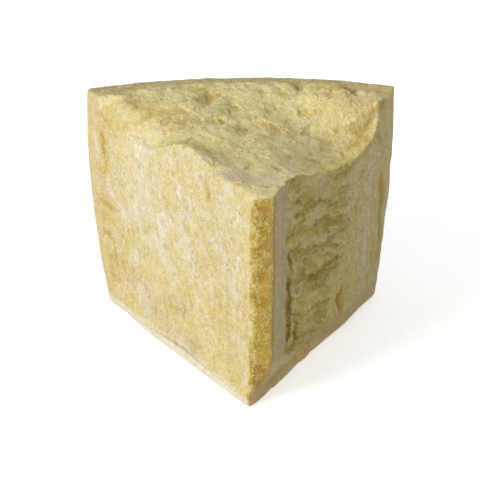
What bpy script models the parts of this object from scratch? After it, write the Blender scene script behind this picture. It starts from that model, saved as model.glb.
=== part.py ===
"""A wedge of hard, aged, granular cheese, as one solid.

The wedge comes from a wheel that was split at its mid height and then cut by knife. Its
underside and its curved back are rind, its top is the rough split, its left side is a
clean cut, and its right side is a fracture beside a narrow strip of clean cut. The tip
points to -Y and the rind's middle to +Y. The origin is the middle of the box that holds
the wedge, at its underside.

While it is shaped, the wedge stands on the wheel's own axis. Two pairs of measures lie
on its sides: the distance from the tip along the side, and the height above the base.
"""

import math
from collections import namedtuple

import bmesh
import bpy
import numpy as np
from mathutils import Vector, noise

MM = 0.001

# The wheel, split at its mid height
WHEEL_RADIUS = 200 * MM
BASE_RADIUS = 173.2 * MM
RIM_HEIGHT = 123.7 * MM
TIP_HEIGHT = 126.2 * MM
RIM_SAG = 1.3 * MM  # the rim is a little lower at its middle than at its two corners
RIM_SAG_AT = 12 * MM
RIM_SAG_SPAN = 90 * MM
RIM_SAG_POWER = 4
SIDE_BELLY = -0.326  # share of the side's fall that is even, below zero for a belly
SIDE_POINTS = 24
WHEEL_STEPS = 256

# The wedge in plan: the blunt end of the tip, and how wide the two cuts open
TIP_LEFT = Vector((-5.6, 6.1)) * MM
TIP_RIGHT = Vector((6.8, 6.0)) * MM
HALF_ANGLE = math.radians(27)
CUT_REACH = 1.3  # length of the cuts as a share of the wheel's radius
CUT_MARGIN = 20 * MM

# The mesh
VOXEL = 1.3 * MM
SMOOTH_ROUNDS = 2
TRIANGLES = 11400
FOOT_ROUND = 1.3 * MM
FOOT_CENTRE = Vector((0, 112)) * MM
FLAT_BAND = 0.4 * MM
CALM_FOOT = 2.6 * MM  # height up to which the relief of the sides fades in
LEFT_FLARE = 2.2 * MM  # the foot stands out a little along both cuts
RIGHT_FLARE = 1.2 * MM
FLARE_HEIGHT = 7 * MM
FLARE_START = (-6 * MM, 8 * MM)
FLARE_END = (110 * MM, 150 * MM)

# Heights at which the top's relief starts to lift or sink what is below it
LIFT_START = 40 * MM

# A hollow, or a mound where its depth is below zero. On the top, across and along are x
# and y. On a side they are the distance from the tip and the height. The turn is from
# the first measure towards the second.
Hollow = namedtuple("Hollow", "across along half_length half_width turn depth")

TOP_HOLLOWS = [
    Hollow(-35, 70, 30, 10, 116, -5.0),  # raised lip of the left edge
    Hollow(-22, 84, 34, 13, 116, 3.4),  # trough behind the lip
    Hollow(-29, 50, 9, 8, 116, 4.5),  # chip at the foot of the lip
    Hollow(-58, 110, 20, 13, 116, 10.0),  # chip in the left edge
    Hollow(-5, 44, 15, 9, 20, 1.8),  # smooth dent behind the tip
    Hollow(-21, 166, 11, 3.4, 80, 5.0),  # crevice near the rind
    Hollow(-12, 133, 12, 3.2, 15, 3.6),  # crevice in the middle
    Hollow(2, 129, 8, 3.0, 65, 3.0),
    Hollow(-34, 150, 12, 10, 30, -3.0),  # block beside the crevice
    Hollow(34, 184, 9, 3.4, 70, 4.6),  # cracks in the rind's edge
    Hollow(64, 176, 9, 3.2, 110, 4.2),
    Hollow(12, 96, 22, 9, 35, -2.2),  # low ridge across the scoop
    Hollow(84, 166, 7, 6, 60, 2.0),  # worn corner beside the rind
]
SCOOP = Hollow(61, 119, 67, 52, 63, 24.5)
SCOOP_BANK = (136 * MM, 174 * MM)  # distances from the tip where the bank starts and ends
SCOOP_END = (150 * MM, 170 * MM)  # the same beside the right side, up to the cliff's foot
CLIFF_SHARE = 0.42  # share of the bank's rise that is the cliff
CLIFF_PLACE = Vector((70, 149)) * MM
CLIFF_SLOPE = 0.5
CLIFF_RUN = 3 * MM
CLIFF_FADE = (58 * MM, 74 * MM)  # x where the cliff starts and is whole
LEDGE_FALL = 2.4 * MM
LEFT_ROUND = 12 * MM  # broad rounding of the left edge near the rind
LEFT_ROUND_WIDTH = 14 * MM
LEFT_ROUND_FROM = (108 * MM, 136 * MM)
LEFT_ROUND_TO = (166 * MM, 188 * MM)

LEFT_HOLLOWS = [
    Hollow(172, 96, 8, 3.2, 86, 2.0),  # pits under the rind
    Hollow(166, 66, 6, 3.0, 95, 1.2),
    Hollow(112, 96, 26, 20, 60, -0.8),
    Hollow(60, 60, 40, 24, 70, 0.8),
    Hollow(150, 40, 30, 20, 80, 0.6),
    Hollow(77, 28, 6, 5, 0, 1.0),
    Hollow(49, 109, 5, 4, 0, 1.0),
]

RIGHT_HOLLOWS = [
    Hollow(49, 104, 10, 4.5, 40, 4.5),  # cleft under the top edge
    Hollow(70, 71, 22, 3.4, -14, -2.8),  # upper ridge
    Hollow(75, 57, 15, 3.4, -8, -2.4),  # lower ridge
    Hollow(62, 64, 17, 3.8, -18, 2.6),
    Hollow(72, 48, 14, 4.5, 5, 3.2),  # pits below the ridges
    Hollow(62, 88, 16, 8, 20, 2.4),
    Hollow(47, 30, 12, 3.0, 90, 3.2),  # slit
    Hollow(109, 21, 6, 5, 0, 2.8),
    Hollow(82, 30, 16, 9, 30, -1.8),
    Hollow(173, 110, 11, 4.5, 20, 3.0),  # hollow under the rim
    Hollow(161, 34, 30, 2.8, 90, -1.4),  # ridge beside the rind
    Hollow(140, 70, 30, 10, 80, 0.8),
    Hollow(100, 84, 24, 8, 70, -1.4),
]
BAND_START = -10 * MM  # the strip of clean cut beside the tip falls back between these
BAND_END = 25 * MM
BAND_FALL = 4.2 * MM
CREVICE_AT = 27.5 * MM
CREVICE_WIDTH = 2.2 * MM
CREVICE_DEPTH = 3.6 * MM
CREVICE_HEIGHTS = (18 * MM, 34 * MM, 74 * MM, 96 * MM)
LIP_WIDTH = 9 * MM
LIP_PROUD = 5.2 * MM
FRACTURE_DEPTH = 6.4 * MM
FRACTURE_END = (96 * MM, 130 * MM)  # its far edge, at the base and at the top
FRACTURE_FADE = 26 * MM
STRIP_EDGE = (164 * MM, 168 * MM)  # the strip beside the rind starts between these
STRIP_DEPTH = 1.4 * MM
RECESS_HEIGHT = 14 * MM  # where the right side's foot is cut back to the tip
RECESS_RISE = 15 * MM
RECESS_REACH = 16 * MM

SIDE_FADE = 15 * MM  # depth inside the wedge at which a side's relief ends
BURR_HEIGHT = 6.5 * MM  # thin ridge of paste above the rind of the left side's foot
BURR_PROUD = 0.9 * MM
BURR_WIDTH = 1.7 * MM
GROOVE_HEIGHT = 2.6 * MM  # shallow groove under the burr
GROOVE_SHARE = 0.4
BURR_REACH = 130 * MM

# Grain of the broken and cut surfaces: size of its lumps, and how far they stand out.
# Lumps and ridges are mixed, and the ridges are a little wider.
LUMP_SHARE = 0.6
RIDGE_SHARPNESS = 2.4
RIDGE_SCALE = 0.8
Grain = namedtuple("Grain", "size height seed")
TOP_GRAIN = [Grain(34, 2.0, 3), Grain(15, 1.6, 11), Grain(7.5, 1.4, 23)]
RIGHT_GRAIN = [Grain(24, 2.2, 5), Grain(11, 2.8, 17), Grain(6.5, 1.8, 29)]
LEFT_GRAIN = [Grain(40, 0.7, 7), Grain(12, 0.35, 19)]
RIND_GRAIN = [Grain(60, 0.6, 13), Grain(18, 0.2, 31)]
CALM_SHARE = 0.25  # grain that is left on the calmer parts of a side, and on the rind
RIND_EDGE = (-3.6 * MM, 12 * MM)  # depths under the rind where the top's relief fades in
PASTE_EDGE = (2.4 * MM, 16.8 * MM)  # the same for the rougher grain of the paste

PASTE_COLOUR = (0.72, 0.58, 0.31, 1.0)
PASTE_ROUGHNESS = 0.62


def smooth_step(low, high, value):
    """Rises from 0 at low to 1 at high, with level ends."""
    share = np.clip((value - low) / (high - low), 0.0, 1.0)
    return share * share * (3.0 - 2.0 * share)


def side_radius(height):
    """Radius of the wheel's side: it leans out from the base and bellies near the split."""
    fall = 1.0 - height / RIM_HEIGHT
    even = SIDE_BELLY * fall
    curved = (1.0 - SIDE_BELLY) * fall * fall
    return WHEEL_RADIUS - (WHEEL_RADIUS - BASE_RADIUS) * (even + curved)


def hollow_depth(hollow, across, along):
    """How deep a hollow is at each place, in metres, with a bell-shaped section."""
    turn = math.radians(hollow.turn)
    d_across = across - hollow.across * MM
    d_along = along - hollow.along * MM
    length = d_across * math.cos(turn) + d_along * math.sin(turn)
    width = d_along * math.cos(turn) - d_across * math.sin(turn)
    bell = (length / (hollow.half_length * MM)) ** 2 + (width / (hollow.half_width * MM)) ** 2
    return hollow.depth * MM * np.exp(-bell)


def grain_height(grains, points, stretch=(1.0, 1.0, 1.0)):
    """Lumps and ridges of several sizes, one value for each point."""
    total = np.zeros(len(points))
    for grain in grains:
        offset = Vector((grain.seed, grain.seed * 0.7, -grain.seed * 0.4))
        scale = Vector(stretch) / (grain.size * MM)
        for index, point in enumerate(points):
            place = Vector((point[0] * scale.x, point[1] * scale.y, point[2] * scale.z)) + offset
            lump = noise.noise(place)
            ridge = 1.0 - RIDGE_SHARPNESS * abs(noise.noise(place * RIDGE_SCALE + offset))
            mixed = LUMP_SHARE * lump + (1.0 - LUMP_SHARE) * ridge
            total[index] += grain.height * MM * mixed
    return total


class Side:
    """An upright side of the wedge, from a start to an end in plan."""

    def __init__(self, start, end):
        self.start = np.array(start)
        run = np.array(end) - self.start
        self.along = run / np.linalg.norm(run)

    def distance(self, points):
        """Distance from the start, along the side."""
        return (points[:, :2] - self.start) @ self.along

    def depth(self, points, outward):
        """Depth inside the wedge."""
        return -(points[:, :2] - self.start) @ outward


def rind_corner(sign):
    """Plan position of the corner between a cut and the rind, at the rim."""
    return Vector((sign * math.sin(HALF_ANGLE), math.cos(HALF_ANGLE))) * WHEEL_RADIUS


LEFT = Side(TIP_LEFT, rind_corner(-1))
RIGHT = Side(TIP_RIGHT, rind_corner(1))
FULL_RIGHT = Side(TIP_LEFT, rind_corner(1))
LEFT_OUT = np.array((-LEFT.along[1], LEFT.along[0]))
RIGHT_OUT = np.array((RIGHT.along[1], -RIGHT.along[0]))
FULL_RIGHT_OUT = np.array((FULL_RIGHT.along[1], -FULL_RIGHT.along[0]))


def new_collection(name):
    collection = bpy.data.collections.new(name)
    bpy.context.scene.collection.children.link(collection)
    return collection


def turned_wheel(collection):
    """The half wheel: its profile, from the split down the side to the base, turned round."""
    profile = [(0.0, RIM_HEIGHT)]
    for step in range(SIDE_POINTS + 1):
        height = RIM_HEIGHT * (1.0 - step / SIDE_POINTS)
        profile.append((side_radius(height), height))
    profile.append((0.0, 0.0))
    mesh = bpy.data.meshes.new("wheel")
    edges = [(index, index + 1) for index in range(len(profile) - 1)]
    mesh.from_pydata([(radius, 0.0, height) for radius, height in profile], edges, [])
    wheel = bpy.data.objects.new("wheel", mesh)
    collection.objects.link(wheel)
    screw = wheel.modifiers.new("turn", "SCREW")
    screw.angle = math.tau
    screw.steps = WHEEL_STEPS
    screw.render_steps = WHEEL_STEPS
    screw.use_merge_vertices = True
    screw.merge_threshold = 0.00001
    return wheel


def wedge_cutter(collection):
    """An upright prism whose sides are the two cuts and the blunt tip."""
    reach = CUT_REACH * WHEEL_RADIUS
    left_far = TIP_LEFT + Vector(LEFT.along) * reach
    right_far = TIP_RIGHT + Vector(RIGHT.along) * reach
    outline = bpy.data.curves.new("cuts", "CURVE")
    outline.dimensions = "2D"
    outline.fill_mode = "BOTH"
    outline.extrude = RIM_HEIGHT / 2 + CUT_MARGIN
    corners = (TIP_LEFT, TIP_RIGHT, right_far, left_far)
    spline = outline.splines.new("POLY")
    spline.points.add(len(corners) - 1)
    for point, corner in zip(spline.points, corners):
        point.co = (corner.x, corner.y, 0.0, 1.0)
    spline.use_cyclic_u = True
    guide = bpy.data.objects.new("cuts_outline", outline)
    guide.location.z = RIM_HEIGHT / 2
    collection.objects.link(guide)
    bpy.context.view_layer.update()
    evaluated = guide.evaluated_get(bpy.context.evaluated_depsgraph_get())
    mesh = bpy.data.meshes.new_from_object(evaluated)
    cutter = bpy.data.objects.new("cuts", mesh)
    cutter.matrix_world = guide.matrix_world
    collection.objects.link(cutter)
    bpy.data.objects.remove(guide)
    work = bmesh.new()
    work.from_mesh(mesh)
    bmesh.ops.remove_doubles(work, verts=work.verts, dist=0.00001)
    bmesh.ops.recalc_face_normals(work, faces=work.faces)
    work.to_mesh(mesh)
    work.free()
    cutter.hide_render = True
    cutter.display_type = "WIRE"
    return cutter


def plain_wedge(wheel, cutter):
    """The sharp wedge, with an even mesh that its relief can move."""
    cut = wheel.modifiers.new("cuts", "BOOLEAN")
    cut.operation = "INTERSECT"
    cut.object = cutter
    even = wheel.modifiers.new("even", "REMESH")
    even.mode = "VOXEL"
    even.voxel_size = VOXEL
    bpy.context.view_layer.update()
    evaluated = wheel.evaluated_get(bpy.context.evaluated_depsgraph_get())
    return bpy.data.meshes.new_from_object(evaluated)


def flat_top(points):
    """Height of the split before its relief: it rises towards the tip and sags at the rim."""
    outwards = np.hypot(points[:, 0], points[:, 1]) / WHEEL_RADIUS
    bow = 1.0 - 2.0 * ((points[:, 0] - RIM_SAG_AT) / RIM_SAG_SPAN) ** 2
    plain = RIM_HEIGHT + (TIP_HEIGHT - RIM_HEIGHT) * (1.0 - outwards)
    return plain - RIM_SAG * bow * outwards**RIM_SAG_POWER


def top_relief(points):
    """How far the split stands above its plain height, below zero in its hollows."""
    across = points[:, 0]
    along = points[:, 1]
    right_distance = RIGHT.distance(points)
    left_distance = LEFT.distance(points)
    left_depth = LEFT.depth(points, LEFT_OUT)
    slope = smooth_step(*SCOOP_BANK, right_distance)
    cliff_line = CLIFF_PLACE.y + CLIFF_SLOPE * (across - CLIFF_PLACE.x)
    cliff = smooth_step(0.0, CLIFF_RUN, along - cliff_line)
    steep = (1.0 - CLIFF_SHARE) * smooth_step(*SCOOP_END, right_distance) + CLIFF_SHARE * cliff
    steepness = smooth_step(*CLIFF_FADE, across)
    bank = slope + (steep - slope) * steepness
    relief = -hollow_depth(SCOOP, across, along) * (1.0 - bank)
    relief -= LEDGE_FALL * steepness * bank
    for hollow in TOP_HOLLOWS:
        relief -= hollow_depth(hollow, across, along)
    near_left = np.clip(1.0 - left_depth / LEFT_ROUND_WIDTH, 0.0, 1.0) ** 2
    stretch = smooth_step(*LEFT_ROUND_FROM, left_distance)
    stretch *= 1.0 - smooth_step(*LEFT_ROUND_TO, left_distance)
    relief -= LEFT_ROUND * near_left * stretch
    flat_points = np.column_stack((across, along, np.zeros(len(points))))
    rind_depth = WHEEL_RADIUS - np.hypot(across, along)
    paste = smooth_step(*PASTE_EDGE, rind_depth)
    relief += grain_height(TOP_GRAIN, flat_points) * (CALM_SHARE + (1.0 - CALM_SHARE) * paste)
    return relief * smooth_step(*RIND_EDGE, rind_depth)


def left_relief(points):
    """How far the left side stands out from its plane."""
    distance = LEFT.distance(points)
    height = points[:, 2]
    relief = grain_height(LEFT_GRAIN, points, (1.0, 1.0, 0.6))
    for hollow in LEFT_HOLLOWS:
        relief -= hollow_depth(hollow, distance, height)
    burr = np.exp(-(((height - BURR_HEIGHT) / BURR_WIDTH) ** 2))
    burr -= GROOVE_SHARE * np.exp(-(((height - GROOVE_HEIGHT) / BURR_WIDTH) ** 2))
    relief += BURR_PROUD * burr * (1.0 - smooth_step(0.8 * BURR_REACH, BURR_REACH, distance))
    return relief


def right_relief(points):
    """How far the right side stands out from its plane: clean strip, crevice, fracture."""
    distance = RIGHT.distance(points)
    height = points[:, 2]
    relief = -BAND_FALL * smooth_step(BAND_START, BAND_END, distance)
    start_low, full_low, full_high, end_high = CREVICE_HEIGHTS
    crevice_share = smooth_step(start_low, full_low, height)
    crevice_share *= 1.0 - smooth_step(full_high, end_high, height)
    crevice = np.exp(-(((distance - CREVICE_AT) / CREVICE_WIDTH) ** 2))
    relief -= CREVICE_DEPTH * crevice * crevice_share
    past_crevice = smooth_step(CREVICE_AT, CREVICE_AT + CREVICE_WIDTH, distance)
    lip = past_crevice * (1.0 - smooth_step(CREVICE_AT, CREVICE_AT + LIP_WIDTH, distance))
    relief += LIP_PROUD * lip * crevice_share
    base_end, top_end = FRACTURE_END
    edge = base_end + (top_end - base_end) * np.clip(height / RIM_HEIGHT, 0.0, 1.0)
    inside = 1.0 - smooth_step(edge - FRACTURE_FADE / 2, edge + FRACTURE_FADE / 2, distance)
    inside *= past_crevice
    relief -= (FRACTURE_DEPTH - BAND_FALL) * inside
    relief += BAND_FALL * smooth_step(edge - FRACTURE_FADE, edge + FRACTURE_FADE, distance)
    relief -= STRIP_DEPTH * smooth_step(*STRIP_EDGE, distance)
    for hollow in RIGHT_HOLLOWS:
        relief -= hollow_depth(hollow, distance, height)
    rough = CALM_SHARE + (1.0 - CALM_SHARE) * inside
    relief += grain_height(RIGHT_GRAIN, points, (1.0, 1.0, 0.8)) * rough * past_crevice
    return relief


def foot_flare(distance, height):
    """Share of the foot's flare at each place on a cut."""
    low = np.exp(-((height / FLARE_HEIGHT) ** 2))
    return low * smooth_step(*FLARE_START, distance) * (1.0 - smooth_step(*FLARE_END, distance))


def foot_inset(height):
    """How far the rounding of the foot draws a side in."""
    rise = np.clip(1.0 - height / FOOT_ROUND, 0.0, 1.0)
    return FOOT_ROUND * (1.0 - np.sqrt(1.0 - rise * rise))


def carve(mesh):
    """Moves the points of the plain wedge by the relief of the side that each is on."""
    count = len(mesh.vertices)
    flat = np.empty(count * 3, dtype=np.float32)
    mesh.vertices.foreach_get("co", flat)
    points = flat.reshape(count, 3).astype(float)
    underside = points[:, 2] < FLAT_BAND
    points[underside, 2] = 0.0

    left_depth = LEFT.depth(points, LEFT_OUT)
    right_depth = RIGHT.depth(points, RIGHT_OUT)
    radius = np.hypot(points[:, 0], points[:, 1])
    rind_depth = side_radius(points[:, 2]) - radius
    tip_depth = points[:, 1] - TIP_RIGHT.y

    lift = top_relief(points) * smooth_step(LIFT_START, RIM_HEIGHT, points[:, 2])
    scale = flat_top(points) / RIM_HEIGHT
    left_share = np.clip(1.0 - left_depth / SIDE_FADE, 0.0, 1.0)
    right_share = np.clip(1.0 - right_depth / SIDE_FADE, 0.0, 1.0)
    rind_share = np.clip(1.0 - rind_depth / SIDE_FADE, 0.0, 1.0)
    tip_share = np.clip(1.0 - tip_depth / SIDE_FADE, 0.0, 1.0)
    calm_foot = smooth_step(0.0, CALM_FOOT, points[:, 2])
    left_flare = LEFT_FLARE * foot_flare(LEFT.distance(points), points[:, 2])
    right_flare = RIGHT_FLARE * foot_flare(RIGHT.distance(points), points[:, 2])

    move = np.zeros((count, 2))
    move += np.outer((left_relief(points) * calm_foot + left_flare) * left_share, LEFT_OUT)
    move += np.outer((right_relief(points) * calm_foot + right_flare) * right_share, RIGHT_OUT)
    rind_out = points[:, :2] / np.maximum(radius, MM)[:, None]
    rind_move = grain_height(RIND_GRAIN, points) * calm_foot * rind_share
    move += rind_out * rind_move[:, None]

    excess = np.maximum(-FULL_RIGHT.depth(points, FULL_RIGHT_OUT), 0.0)
    recess_top = RECESS_HEIGHT + RECESS_RISE * np.exp(-RIGHT.distance(points) / RECESS_REACH)
    recess = 1.0 - smooth_step(0.0, 1.0, points[:, 2] / recess_top)
    move -= np.outer(excess * recess, FULL_RIGHT_OUT)

    inwards = np.array(FOOT_CENTRE) - points[:, :2]
    inwards /= np.maximum(np.linalg.norm(inwards, axis=1), MM)[:, None]
    nearest = np.maximum.reduce([left_share, right_share, rind_share, tip_share])
    move += inwards * (foot_inset(points[:, 2]) * nearest)[:, None]

    points[:, :2] += move
    points[:, 2] = points[:, 2] * scale + lift
    points[underside, 2] = 0.0
    mesh.vertices.foreach_set("co", points.astype(np.float32).ravel())
    mesh.update()


def smooth_and_thin(wedge):
    """Takes the steps out of the relief, then leaves faces where the form needs them."""
    above = wedge.vertex_groups.new(name="above")
    above.add([vertex.index for vertex in wedge.data.vertices if vertex.co.z > 0.0], 1.0, "REPLACE")
    smooth = wedge.modifiers.new("smooth", "SMOOTH")
    smooth.factor = 0.5
    smooth.iterations = SMOOTH_ROUNDS
    smooth.vertex_group = above.name
    split = wedge.modifiers.new("split", "TRIANGULATE")
    split.quad_method = "SHORTEST_DIAGONAL"
    thin = wedge.modifiers.new("thin", "DECIMATE")
    thin.ratio = TRIANGLES / (2.0 * len(wedge.data.polygons))
    bpy.context.view_layer.update()
    evaluated = wedge.evaluated_get(bpy.context.evaluated_depsgraph_get())
    mesh = bpy.data.meshes.new_from_object(evaluated)
    wedge.modifiers.clear()
    wedge.vertex_groups.clear()
    wedge.data = mesh


def centre_on_base(mesh):
    """Puts the middle of the base's box at the origin."""
    corners = np.array([vertex.co for vertex in mesh.vertices])
    middle = (corners.min(axis=0) + corners.max(axis=0)) / 2.0
    for vertex in mesh.vertices:
        vertex.co.x -= middle[0]
        vertex.co.y -= middle[1]


def paste_material():
    material = bpy.data.materials.new("aged_paste")
    material.use_nodes = True
    shader = material.node_tree.nodes["Principled BSDF"]
    shader.inputs["Base Color"].default_value = PASTE_COLOUR
    shader.inputs["Roughness"].default_value = PASTE_ROUGHNESS
    shader.inputs["Metallic"].default_value = 0.0
    return material


def main():
    for old in list(bpy.data.objects):
        bpy.data.objects.remove(old)
    parts = new_collection("parmigiano_reggiano")
    cutters = new_collection("cutters")
    wheel = turned_wheel(cutters)
    cutter = wedge_cutter(cutters)
    mesh = plain_wedge(wheel, cutter)
    bpy.data.objects.remove(wheel)
    carve(mesh)
    wedge = bpy.data.objects.new("cheese_wedge", mesh)
    parts.objects.link(wedge)
    smooth_and_thin(wedge)
    centre_on_base(wedge.data)
    wedge.data.materials.clear()
    wedge.data.materials.append(paste_material())


main()
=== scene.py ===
"""A wedge of aged hard cheese: one side cut, top and other side broken, bare rind behind and below."""

import math
from collections import namedtuple

import bmesh
import bpy
import numpy as np
from mathutils import Matrix, Vector


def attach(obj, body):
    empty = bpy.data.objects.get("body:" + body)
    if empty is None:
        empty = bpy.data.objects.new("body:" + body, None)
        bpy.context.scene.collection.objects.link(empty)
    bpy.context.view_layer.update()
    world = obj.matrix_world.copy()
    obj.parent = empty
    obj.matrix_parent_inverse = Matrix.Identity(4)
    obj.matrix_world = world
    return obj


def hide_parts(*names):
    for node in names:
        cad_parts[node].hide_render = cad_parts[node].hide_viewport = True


bl_info = {
    "name": "Aged cheese wedge",
    "version": (1, 0, 0),
    "blender": (4, 5, 0),
    "location": "3D View > Sidebar > Cheese",
    "description": "Makes a wedge of aged hard cheese with broken paste, cut paste and rind",
    "category": "Object",
}

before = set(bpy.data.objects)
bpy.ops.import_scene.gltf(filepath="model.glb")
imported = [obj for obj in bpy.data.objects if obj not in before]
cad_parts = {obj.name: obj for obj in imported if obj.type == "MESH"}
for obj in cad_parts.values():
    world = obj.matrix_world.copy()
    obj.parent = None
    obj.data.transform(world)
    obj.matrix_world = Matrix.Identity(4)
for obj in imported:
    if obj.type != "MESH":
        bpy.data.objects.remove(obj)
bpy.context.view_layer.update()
NODE = "cheese_wedge"

MM = 0.001
WHEEL_AXIS_Y = -103.0
FACE_NAMES = ("left", "right", "top", "tip", "outer", "base")

# Sides of the wedge, in millimetres: the corner at the tip, the way to the rind and the way out.
LEFT_CORNER = (-5.6, 6.1)
LEFT_ALONG = (-0.4438, 0.8961)
RIGHT_CORNER = (6.8, 6.0)
RIGHT_ALONG = (0.4384, 0.8988)

# Ways along the ridges of the broken side, out of that side and up it.
RIDGE_WAYS = ((0.435, 0.892, -0.12), (0.8988, -0.4384, 0.0), (0.07, 0.15, 0.98))
SCRAPE_LEAN = (0.10, -0.20)

MOTTLES = (
    "Clouds",
    "Blotches",
    "Flecks",
    "Streaks",
    "Ridges",
    "Light grains",
    "Dark grains",
    "Cracks",
    "Grain",
)

# Masks of the wedge that its finish reads besides its faces.
FINISH_MASKS = (
    "rim",
    "foot",
    "left_foot",
    "near_tip",
    "band",
    "amber",
    "tanned",
    "lemon",
    "pale",
    "scar",
    "blush",
    "broken_side",
    "scraped",
    "rind_depth",
    "relief",
)

# Colours laid over the paste in turn: the pattern that places each one, the values of the pattern
# between which it fades in, the part of the wedge that has it, and its share.
Tint = namedtuple("Tint", "colour pattern low high part share")
TINTS = (
    Tint("straw", "Tone", 0.00, 0.20, "vivid", 0.85),
    Tint("pale", "Tone", -0.03, -0.20, "vivid", 0.75),
    Tint("pale", "Flecks", 0.54, 0.64, "vivid", 0.60),
    Tint("tan", "Flecks", 0.45, 0.35, "vivid", 0.45),
    Tint("pale_paste", "Flecks", 0.50, 0.60, "right", 0.40),
    Tint("tan", "Flecks", 0.49, 0.38, "right", 0.45),
    Tint("pale", "Streaks", 0.55, 0.66, "scraped", 0.22),
    Tint("pale_paste", "Streaks", 0.51, 0.60, "upright", 0.35),
    Tint("olive", "Streaks", 0.48, 0.40, "upright", 0.45),
    Tint("chalk", "Flecks", 0.40, 0.60, "light_grains", 0.60),
    Tint("tan", "Dark grains", 0.84, 0.96, "vivid", 0.28),
    # Painted shade, partly crack colour: tan along the Cracks pattern, which the bump sinks.
    Tint("tan", "Cracks", None, None, "vivid", 0.40),
    # Painted shade and highlight: the bump raises the broken side along the Ridges pattern, so olive
    # darkens its troughs and pale paste lightens its crests.
    Tint("olive", "Ridges", 0.50, 0.38, "broken_side", 0.62),
    Tint("pale_paste", "Ridges", 0.52, 0.66, "broken_side", 0.50),
)

# Patches of broken paste: their width as a share of the given one, their level and lean, how soft
# their edges are, and how much they count.
Patches = namedtuple("Patches", "size level lean softness weight")
TOP_PATCHES = (Patches(1.0, 0.9, 2.2, 0.12, 1.0), Patches(0.42, 0.7, 1.9, 0.10, 0.45))
SIDE_PATCHES = (Patches(1.0, 1.0, 2.4, 0.12, 1.0), Patches(0.40, 0.8, 2.0, 0.10, 0.5))
CHIP_PATCHES = (Patches(2.0, 1.0, 1.5, 0.15, 0.8),)

GEOMETRY = {"Geometry": "Geometry"}
RELIEF_INPUTS = (
    "Flake height",
    "Flake size",
    "Crag height",
    "Crag size",
    "Streak height",
    "Streak width",
    "Grain height",
    "Grain size",
    "Rind wave",
    "Seed",
)
# Far edge of the broken side at some heights, and top of the foot along the right side.
BROKEN_EDGE = ((20, 86), (32, 95), (50, 113), (72, 121), (98, 128))
FOOT_LINE = ((0, 27), (16, 21), (43, 14), (91, 13), (133, 8), (175, 12))
CALM_PATH = ((-16, 44), (6, 42))  # smooth patch of the top beside the tip
CALM_WIDTH = 11.0
RIND_ROUNDS = 24
SPREAD_ROUNDS = 16
WORN_ROUNDS = 40
CRAG_SQUEEZE = (0.27, 1.0, 1.4)
RIDGE_SQUEEZE = (0.20, 1.0, 1.3)
STAND_HEIGHTS = (0.4 * MM, 3.0 * MM)  # heights between which the relief of the foot fades in
TIP_WIDTH = 6.0 * MM
BUMP_DEPTH = 0.8 * MM
# Lowest and highest values and the seed for the shape and the turn of each crystal.
CRYSTAL_STRETCH = ((0.55, 0.55, 0.45), (1.35, 1.25, 0.95), 3)
CRYSTAL_SPIN = ((0.0, 0.0, 0.0), (6.28, 6.28, 6.28), 9)
KEY_PLACE = (-2.25, -1.75, 1.30)
KEY_TARGET = (0.0, 0.0, 0.06)
KEY_SIDE = 1.3
FLOOR_RADIUS = 14.0

Mark = namedtuple("Mark", "face path width strength")

# Path of the crevice beside the band, on the right side.
CREVICE_HIGH = ((27.8, 88), (29.4, 77), (28.6, 67), (29.8, 57))
CREVICE_LOW = ((28.8, 46), (30.2, 37), (29.0, 29), (30.0, 20))
# Cracks and pits as paths on a face, with their half width and depth in millimetres. The paste is also
# painted deep amber in them, partly as painted shade.
SCARS = (
    Mark("left", ((173.5, 104), (171.5, 99), (173, 94), (172, 89)), 1.6, 1.0),
    Mark("left", ((49, 111), (49.5, 108)), 1.8, 0.9),
    Mark("left", ((77, 30), (77, 26)), 1.6, 0.8),
    Mark("left", ((160, 40), (158, 30)), 1.8, 0.9),
    Mark("left", ((98, 92), (96, 86)), 1.5, 0.8),
    Mark("left", ((126, 2.0), (110, 3.4), (93, 5.2), (75, 6.0), (55, 5.4), (32, 3.6), (14, 4.0)), 0.8, 1.3),
    Mark("right", (*CREVICE_HIGH, *CREVICE_LOW), 0.8, 2.0),
    Mark("right", ((47, 36), (48.5, 22)), 2.0, 1.2),
    Mark("right", ((109, 24), (107.5, 18)), 1.6, 1.2),
    Mark("right", ((72, 51), (80, 48)), 2.4, 1.4),
    Mark("right", ((46, 106), (56, 101)), 1.6, 1.6),
    Mark("right", ((36, 80), (44, 76), (52, 78)), 1.4, 1.0),
    Mark("right", ((167, 94), (166, 76), (163, 58), (160, 40)), 2.6, 0.42),
    Mark("top", ((-26, 162), (-20, 157), (-12, 155)), 1.4, 1.4),
    Mark("top", ((-14, 135), (-6, 131), (0, 130)), 1.5, 1.5),
    Mark("top", ((30, 190), (36, 184)), 1.5, 1.4),
    Mark("top", ((62, 181), (67, 177)), 1.5, 1.4),
    Mark("top", ((12, 66), (24, 64), (34, 62)), 1.1, 0.9),
    Mark("top", ((-8, 92), (0, 90)), 1.2, 0.9),
)
# Ridges that stand proud, with their half width and height in millimetres.
RIDGES = (
    Mark("right", ((25.6, 86), (25.9, 60), (26.2, 26)), 2.1, 2.8),
    Mark("right", ((31.6, 80), (32.6, 66), (31.8, 52), (33.4, 40), (32.6, 26)), 1.6, 1.2),
    Mark("right", ((49, 76), (70, 73), (97, 66)), 1.5, 1.1),
    Mark("right", ((57, 61), (72, 59), (90, 54)), 1.4, 1.0),
    Mark("right", ((52, 84), (80, 80)), 1.6, 0.8),
    Mark("right", ((128, 96), (120, 72), (112, 50)), 1.6, 0.7),
    Mark("right", ((162, 98), (160, 80), (158, 64), (154, 48), (152, 30)), 2.6, 1.2),
    Mark("right", ((143, 92), (139, 76), (141, 58), (135, 40)), 1.6, 0.8),
    Mark("left", ((128, 4.5), (110, 6), (93, 8), (75, 9), (55, 8), (32, 6), (14, 6.5)), 0.9, 1.0),
    Mark("left", ((120, 112), (126, 96)), 2.0, 0.5),
    Mark("top", ((-48, 92), (-40, 82), (-34, 70)), 2.2, 0.8),
    Mark("top", ((14, 58), (30, 68), (44, 82)), 1.6, 0.6),
)
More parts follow.
